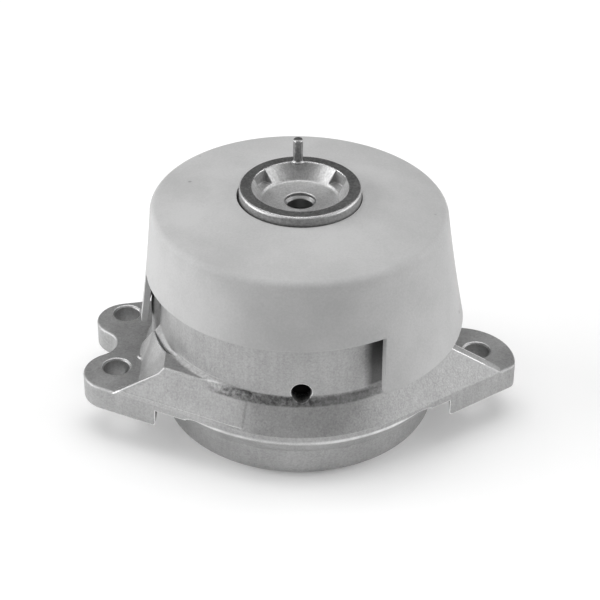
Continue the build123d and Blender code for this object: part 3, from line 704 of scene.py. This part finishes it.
def spread(tree, value, span, start=0.0, end=1.0):
    """Clamped linear change of range: a span of the value becomes a run from start to end."""
    node = tree.nodes.new("ShaderNodeMapRange")
    node.inputs["From Min"].default_value = span[0]
    node.inputs["From Max"].default_value = span[1]
    node.inputs["To Min"].default_value = start
    node.inputs["To Max"].default_value = end
    tree.links.new(value, node.inputs["Value"])
    return node.outputs["Result"]


def combine(tree, operation, *values):
    """Math node of one or two values, each of them a socket or a number."""
    node = tree.nodes.new("ShaderNodeMath")
    node.operation = operation
    for place, value in enumerate(values):
        if hasattr(value, "links"):
            tree.links.new(value, node.inputs[place])
        else:
            node.inputs[place].default_value = value
    return node.outputs["Value"]


def product(tree, first, *others):
    """Product of values, multiplied in order."""
    for other in others:
        first = combine(tree, "MULTIPLY", first, other)
    return first


def weighted(tree, *patterns):
    """Sum of patterns, each given with its weight."""
    parts = [product(tree, pattern, weight) for pattern, weight in patterns]
    result = parts[0]
    for part in parts[1:]:
        result = combine(tree, "ADD", result, part)
    return result


def lowered(tree, value, mask, amount):
    """Value less an amount where the mask is high."""
    return combine(tree, "SUBTRACT", value, product(tree, mask, amount))


def grey(tree, value, dark, light):
    """Neutral colour between two greys, chosen by a value from 0 to 1."""
    ramp = tree.nodes.new("ShaderNodeValToRGB")
    ramp.color_ramp.elements[0].color = plain_grey(dark)
    ramp.color_ramp.elements[1].color = plain_grey(light)
    tree.links.new(value, ramp.inputs["Fac"])
    return ramp.outputs["Color"]


def blended(tree, share, colour, other_grey):
    """Colour drawn towards a grey by a share."""
    node = tree.nodes.new("ShaderNodeMix")
    node.data_type = "RGBA"
    tree.links.new(share, node.inputs["Factor"])
    tree.links.new(colour, node.inputs["A"])
    node.inputs["B"].default_value = plain_grey(other_grey)
    return node.outputs["Result"]


def bump(tree, shader, height, distance, base=None):
    """Bump of a height pattern on the shader's normal, or on a base normal."""
    node = tree.nodes.new("ShaderNodeBump")
    node.inputs["Distance"].default_value = distance
    tree.links.new(height, node.inputs["Height"])
    if base is not None:
        tree.links.new(base, node.inputs["Normal"])
    tree.links.new(node.outputs["Normal"], shader.inputs["Normal"])


def rounded_edges(tree):
    """Normal that turns over a small radius along edges, as on a casting's rounded corners."""
    node = tree.nodes.new("ShaderNodeBevel")
    node.samples = EDGE_SAMPLES
    node.inputs["Radius"].default_value = EDGE_ROUND
    return node.outputs["Normal"]


def edge_highlight_mask(tree, rounded):
    """Mask of the painted highlight along convex edges: high where the rounded normal leaves the face's
    own, in the open.
    """
    geometry = tree.nodes.new("ShaderNodeNewGeometry")
    likeness = tree.nodes.new("ShaderNodeVectorMath")
    likeness.operation = "DOT_PRODUCT"
    tree.links.new(rounded, likeness.inputs[0])
    tree.links.new(geometry.outputs["Normal"], likeness.inputs[1])
    open_air = tree.nodes.new("ShaderNodeAmbientOcclusion")
    open_air.samples = EDGE_HIGHLIGHT_SAMPLES
    open_air.inputs["Distance"].default_value = EDGE_HIGHLIGHT_REACH
    turned = spread(tree, likeness.outputs["Value"], EDGE_HIGHLIGHT_TURN)
    return product(tree, turned, spread(tree, open_air.outputs["AO"], EDGE_HIGHLIGHT_OPEN))


Place = namedtuple("Place", "height turn radius")


def round_place(tree, point):
    """Height, angle in degrees and radius of a point about the upright axis."""
    parts = tree.nodes.new("ShaderNodeSeparateXYZ")
    tree.links.new(point, parts.inputs["Vector"])
    x = parts.outputs["X"]
    y = parts.outputs["Y"]
    turn = product(tree, combine(tree, "ARCTAN2", y, x), degrees(1.0))
    squares = combine(tree, "ADD", product(tree, x, x), product(tree, y, y))
    return Place(parts.outputs["Z"], turn, combine(tree, "SQRT", squares))


def patch(tree, place, spans, soft):
    """Mask of 1 where height, angle and, if given, radius lie in their spans, falling to 0 over a soft
    width at both ends of each.
    """
    masks = []
    for value, (low, high), width in zip(place, spans, soft):
        masks.append(spread(tree, value, (low - width, low)))
        masks.append(spread(tree, value, (high, high + width), 1.0, 0.0))
    return product(tree, *masks)


# Finishes
def flare_highlight_mask(tree, place, cloud):
    """Mask of the painted highlight along the flare's lower edge, weaker at the front and where the cloudy
    patches are dark.
    """
    aside = combine(tree, "ABSOLUTE", combine(tree, "SUBTRACT", place.turn, FLARE_HIGHLIGHT_FRONT))
    at_front = spread(tree, aside, FLARE_HIGHLIGHT_ASIDE, FLARE_HIGHLIGHT_AT_FRONT, 1.0)
    in_cloud = spread(tree, cloud, FLARE_HIGHLIGHT_CLOUD, FLARE_HIGHLIGHT_IN_CLOUD, 1.0)
    return product(tree, patch(tree, place, FLARE_HIGHLIGHT_SPANS, FLARE_HIGHLIGHT_SOFT), at_front, in_cloud)


def crease_dark_band(tree, place, blotches):
    """Mask of the darker band in the crease under the cylinder, broken up by blotches."""
    broken = spread(tree, blotches, CREASE_BAND_BLOTCHES, CREASE_BAND_DENSE, CREASE_BAND_BARE)
    thin = spread(tree, place.turn, CREASE_BAND_THINS, 1.0, CREASE_BAND_THIN)
    return product(tree, patch(tree, place, CREASE_BAND_SPANS, CREASE_BAND_SOFT), broken, thin)


def crease_highlight_mask(tree, place, blotches):
    """Mask of the painted highlight along the crease beside the web."""
    broken = spread(tree, blotches, CREASE_HIGHLIGHT_BLOTCHES, CREASE_HIGHLIGHT_LEAST, CREASE_HIGHLIGHT_MOST)
    return product(tree, patch(tree, place, CREASE_HIGHLIGHT_SPANS, CREASE_HIGHLIGHT_SOFT), broken)


def cut_shadow_mask(tree, place):
    """Mask of the painted shadow on the cylinder where the cap's cut edge lies."""
    on_cylinder = spread(tree, place.radius, CUT_SHADOW_R_SPAN, CUT_SHADOW_SHARE, 0.0)
    return product(tree, patch(tree, place, CUT_SHADOW_SPANS, CUT_SHADOW_SOFT), on_cylinder)


def housing_light_and_marks(tree, point, place, surface, flare_highlight):
    """Housing's colour with its painted highlights, painted shadow and darker band laid over it, the
    painted flare highlight last.
    """
    blotches = noise(tree, point, **BLOTCHES)
    # Painted highlight on the crease, a darker band in it, painted shadow by the cut edge and the painted
    # flare highlight
    surface = blended(tree, crease_highlight_mask(tree, place, blotches), surface, CREASE_HIGHLIGHT_GREY)
    surface = blended(tree, crease_dark_band(tree, place, blotches), surface, CREASE_BAND_GREY)
    surface = blended(tree, cut_shadow_mask(tree, place), surface, CUT_SHADOW_GREY)
    return blended(tree, flare_highlight, surface, FLARE_HIGHLIGHT_GREY)


def machined_top(tree, point, surface):
    """Core's colour with its top ring cut bright and pitted, and darker on the collar outside it. Also
    the mask of the machined ring.
    """
    place = round_place(tree, point)
    ring = spread(tree, place.height, (MACHINED_Z - MACHINED_STEP, MACHINED_Z))
    pits = noise(tree, point, **CUT_PITS)
    pitted = product(tree, ring, spread(tree, pits, CUT_PIT_SPAN, CUT_PIT_SHARE, 0.0))
    outside = spread(tree, place.radius, (COLLAR_R, COLLAR_R + COLLAR_STEP), 0.0, COLLAR_SHARE)
    collar = product(tree, outside, spread(tree, pits, COLLAR_PIT_SPAN, 1.0, COLLAR_LEAST))
    surface = blended(tree, ring, surface, MACHINED_GREY)
    surface = blended(tree, pitted, surface, CUT_PIT_GREY)
    return blended(tree, collar, surface, COLLAR_GREY), ring


def cast_aluminium(name, light, dark, rough, highlight_grey, machined=False, light_and_marks=False):
    """Shot-blasted die casting: bright and dark grain, cloudy patches, faint draw marks, and convex edges
    smoother and painted a light grey of their own as a painted highlight.

    The machined one, the core, has its top cut bright and smoother. The housing has a painted highlight
    along a crease, a smoother painted highlight along the flare's edge, a painted shadow by the cap's cut
    edge, a darker band in the crease under the cylinder and one edge without the painted edge highlight.
    """
    material, tree, shader = new_material(name)
    point = object_point(tree)
    grain = noise(tree, point, **GRAIN)
    cloud = noise(tree, point, **CLOUD)
    drawn = noise(tree, stretched(tree, point, DRAWN_STRETCH), **DRAWN)
    tone = weighted(tree, (grain, GRAIN_SHARE), (cloud, CLOUD_SHARE), (drawn, DRAWN_SHARE))
    surface = grey(tree, spread(tree, tone, CAST_TONE_SPAN), dark, light)
    matt = spread(tree, cloud, PATTERN_SPAN, rough - CAST_ROUGH_VARIES, rough + CAST_ROUGH_VARIES)
    rounded = rounded_edges(tree)
    edge_highlight = edge_highlight_mask(tree, rounded)
    if machined:
        surface, ring = machined_top(tree, point, surface)
        matt = lowered(tree, matt, ring, MACHINED_POLISH)
    if light_and_marks:
        place = round_place(tree, point)
        no_edge_highlight = patch(tree, place, NO_EDGE_HIGHLIGHT_SPANS, NO_EDGE_HIGHLIGHT_SOFT)
        edge_highlight = product(tree, edge_highlight, combine(tree, "SUBTRACT", 1.0, no_edge_highlight))
    # Convex edges painted a light grey: painted highlight
    surface = blended(tree, edge_highlight, surface, highlight_grey)
    if light_and_marks:
        # Painted highlight along the flare's lower edge, which is also made smoother
        flare_highlight = flare_highlight_mask(tree, place, cloud)
        surface = housing_light_and_marks(tree, point, place, surface, flare_highlight)
        matt = lowered(tree, matt, flare_highlight, FLARE_POLISH)
    tree.links.new(surface, shader.inputs["Base Color"])
    tree.links.new(lowered(tree, matt, edge_highlight, EDGE_POLISH), shader.inputs["Roughness"])
    shader.inputs["Metallic"].default_value = CAST_METALLIC
    relief = combine(tree, "ADD", grain, product(tree, drawn, DRAWN_RELIEF))
    bump(tree, shader, relief, CAST_RELIEF, rounded)
    return material


def turned_steel(name, shade_grey, rough):
    """Turned or pressed steel: fine rings about the axis and slight staining."""
    material, tree, shader = new_material(name)
    point = object_point(tree)
    wave = tree.nodes.new("ShaderNodeTexWave")
    wave.wave_type = "RINGS"
    wave.rings_direction = "Z"
    wave.inputs["Scale"].default_value = RING_SCALE
    wave.inputs["Distortion"].default_value = RING_DISTORTION
    tree.links.new(point, wave.inputs["Vector"])
    rings = wave.outputs["Fac"]
    stain = noise(tree, point, **STEEL_STAIN)
    tone = combine(tree, "ADD", product(tree, rings, RING_SHARE), stain)
    surface = grey(tree, tone, shade_grey * STEEL_DARKER, shade_grey * STEEL_LIGHTER)
    matt = spread(tree, stain, PATTERN_SPAN, rough, rough + STEEL_ROUGHER)
    tree.links.new(surface, shader.inputs["Base Color"])
    tree.links.new(matt, shader.inputs["Roughness"])
    shader.inputs["Metallic"].default_value = 1.0
    bump(tree, shader, rings, RING_RELIEF)
    return material


def moulded_rubber(name, dark, light, rough, inside_shade=None):
    """Moulded rubber: dusty bloom in soft clouds, fine pitting, small dark specks and a matt skin.

    Where an inside shade grey is given, the side that the piece's "inside" attribute marks is painted that
    dark grey, as painted shade inside the skirt.
    """
    material, tree, shader = new_material(name)
    point = object_point(tree)
    bloom = noise(tree, point, **BLOOM)
    pits = noise(tree, point, **RUBBER_PITS)
    ripple = noise(tree, point, **RIPPLE)
    tone = weighted(tree, (bloom, BLOOM_SHARE), (pits, PITS_SHARE))
    surface = grey(tree, spread(tree, tone, RUBBER_TONE_SPAN), dark, light)
    cells = tree.nodes.new("ShaderNodeTexVoronoi")
    cells.inputs["Scale"].default_value = SPECK_SCALE
    tree.links.new(point, cells.inputs["Vector"])
    specks = spread(tree, cells.outputs["Distance"], SPECK_SIZE, SPECK_SHARE, 0.0)
    surface = blended(tree, specks, surface, dark * SPECK_DARKER)
    # Inner face painted dark: painted shade inside the skirt
    if inside_shade is not None:
        attribute = tree.nodes.new("ShaderNodeAttribute")
        attribute.attribute_name = "inside"
        surface = blended(tree, attribute.outputs["Fac"], surface, inside_shade)
    matt = spread(tree, bloom, PATTERN_SPAN, rough, rough + RUBBER_ROUGHER)
    tree.links.new(surface, shader.inputs["Base Color"])
    tree.links.new(matt, shader.inputs["Roughness"])
    shader.inputs["Specular IOR Level"].default_value = RUBBER_SPECULAR
    relief = combine(tree, "ADD", pits, product(tree, ripple, RIPPLE_RELIEF))
    bump(tree, shader, relief, RUBBER_RELIEF)
    return material


def finish_nodes():
    """Makes each material slot's finish and gives it to the carried-over pieces of that slot."""
    finishes = {}
    for maker, looks in ((cast_aluminium, CASTINGS), (turned_steel, STEELS), (moulded_rubber, RUBBERS)):
        for slot, look in looks.items():
            finishes[slot] = maker(slot + "_finish", **look)
    for entry in frame["record"]["subparts"]:
        node = frame["nodes"][entry["node"]]
        for place in range(len(node.data.materials)):
            node.data.materials[place] = finishes[entry["material_slot"]]
    return finishes


# Studio
def make_floor():
    """Pale plain floor under the bowl, glowing faintly so that it lights the bowl from below."""
    x, y = np.meshgrid([-FLOOR_REACH, FLOOR_REACH], [-FLOOR_REACH, FLOOR_REACH])
    floor = grid_mesh("floor", np.dstack([x, y, np.full(x.shape, FLOOR_Z)]))
    material, tree, shader = new_material("floor_paper")
    fibre = noise(tree, object_point(tree), **FIBRE)
    tree.links.new(grey(tree, fibre, FLOOR_DARK, FLOOR_LIGHT), shader.inputs["Base Color"])
    shader.inputs["Roughness"].default_value = FLOOR_ROUGH
    shader.inputs["Emission Color"].default_value = plain_grey(1)
    shader.inputs["Emission Strength"].default_value = FLOOR_GLOW
    floor.data.materials.append(material)


def area_light(name, place, aim, size, power):
    """Rectangular soft light at a place in metres, turned to its aim."""
    data = bpy.data.lights.new(name, "AREA")
    data.shape = "RECTANGLE"
    data.size, data.size_y = size
    data.energy = power
    lamp = bpy.data.objects.new(name, data)
    lamp.location = place
    lamp.rotation_mode = "QUATERNION"
    lamp.rotation_quaternion = (Vector(aim) - Vector(place)).to_track_quat("-Z", "Y")
    bpy.context.collection.objects.link(lamp)


def make_lights():
    """Large panels at both sides, the left one stronger, a soft one above, and dim surroundings."""
    for name, panel in PANELS.items():
        area_light(name, **panel)
    world = bpy.data.worlds.new("studio")
    world.use_nodes = True
    background = world.node_tree.nodes["Background"]
    background.inputs["Color"].default_value = plain_grey(1)
    background.inputs["Strength"].default_value = SURROUNDINGS
    bpy.context.scene.world = world


def make_camera():
    """Camera on the photograph's side, turned a little about the mount's axis and rolled."""
    pitch = radians(CAMERA_PITCH)
    roll = radians(CAMERA_ROLL)
    forward = Vector((0, cos(pitch), -sin(pitch)))
    right = Vector((1, 0, 0))
    up = right.cross(forward)
    image_right = cos(roll) * right + sin(roll) * up
    image_up = -sin(roll) * right + cos(roll) * up
    place = Vector((CAMERA_SIDE, 0, CAMERA_TARGET_Z)) - forward * CAMERA_DISTANCE
    pose = Matrix.Identity(4)
    for column, axis in enumerate((image_right, image_up, -forward)):
        for row in range(3):
            pose[row][column] = axis[row]
    pose.translation = place * MM
    data = bpy.data.cameras.new("camera")
    data.lens = CAMERA_LENS
    data.sensor_width = CAMERA_SENSOR
    data.clip_start = CAMERA_NEAR * MM
    camera = bpy.data.objects.new("camera", data)
    camera.matrix_world = Matrix.Rotation(radians(CAMERA_TURN), 4, "Z") @ pose
    bpy.context.collection.objects.link(camera)
    bpy.context.scene.camera = camera


finishes = finish_nodes()
cap = make_cap()
cap.data.materials.append(finishes["cap_rubber"])
web = make_web()
web.data.materials.append(finishes["cast_aluminium"])
thread = make_thread()
thread.data.materials.append(finishes["insert_steel"])
make_floor()
make_lights()
make_camera()
bpy.context.scene.view_settings.view_transform = "Standard"
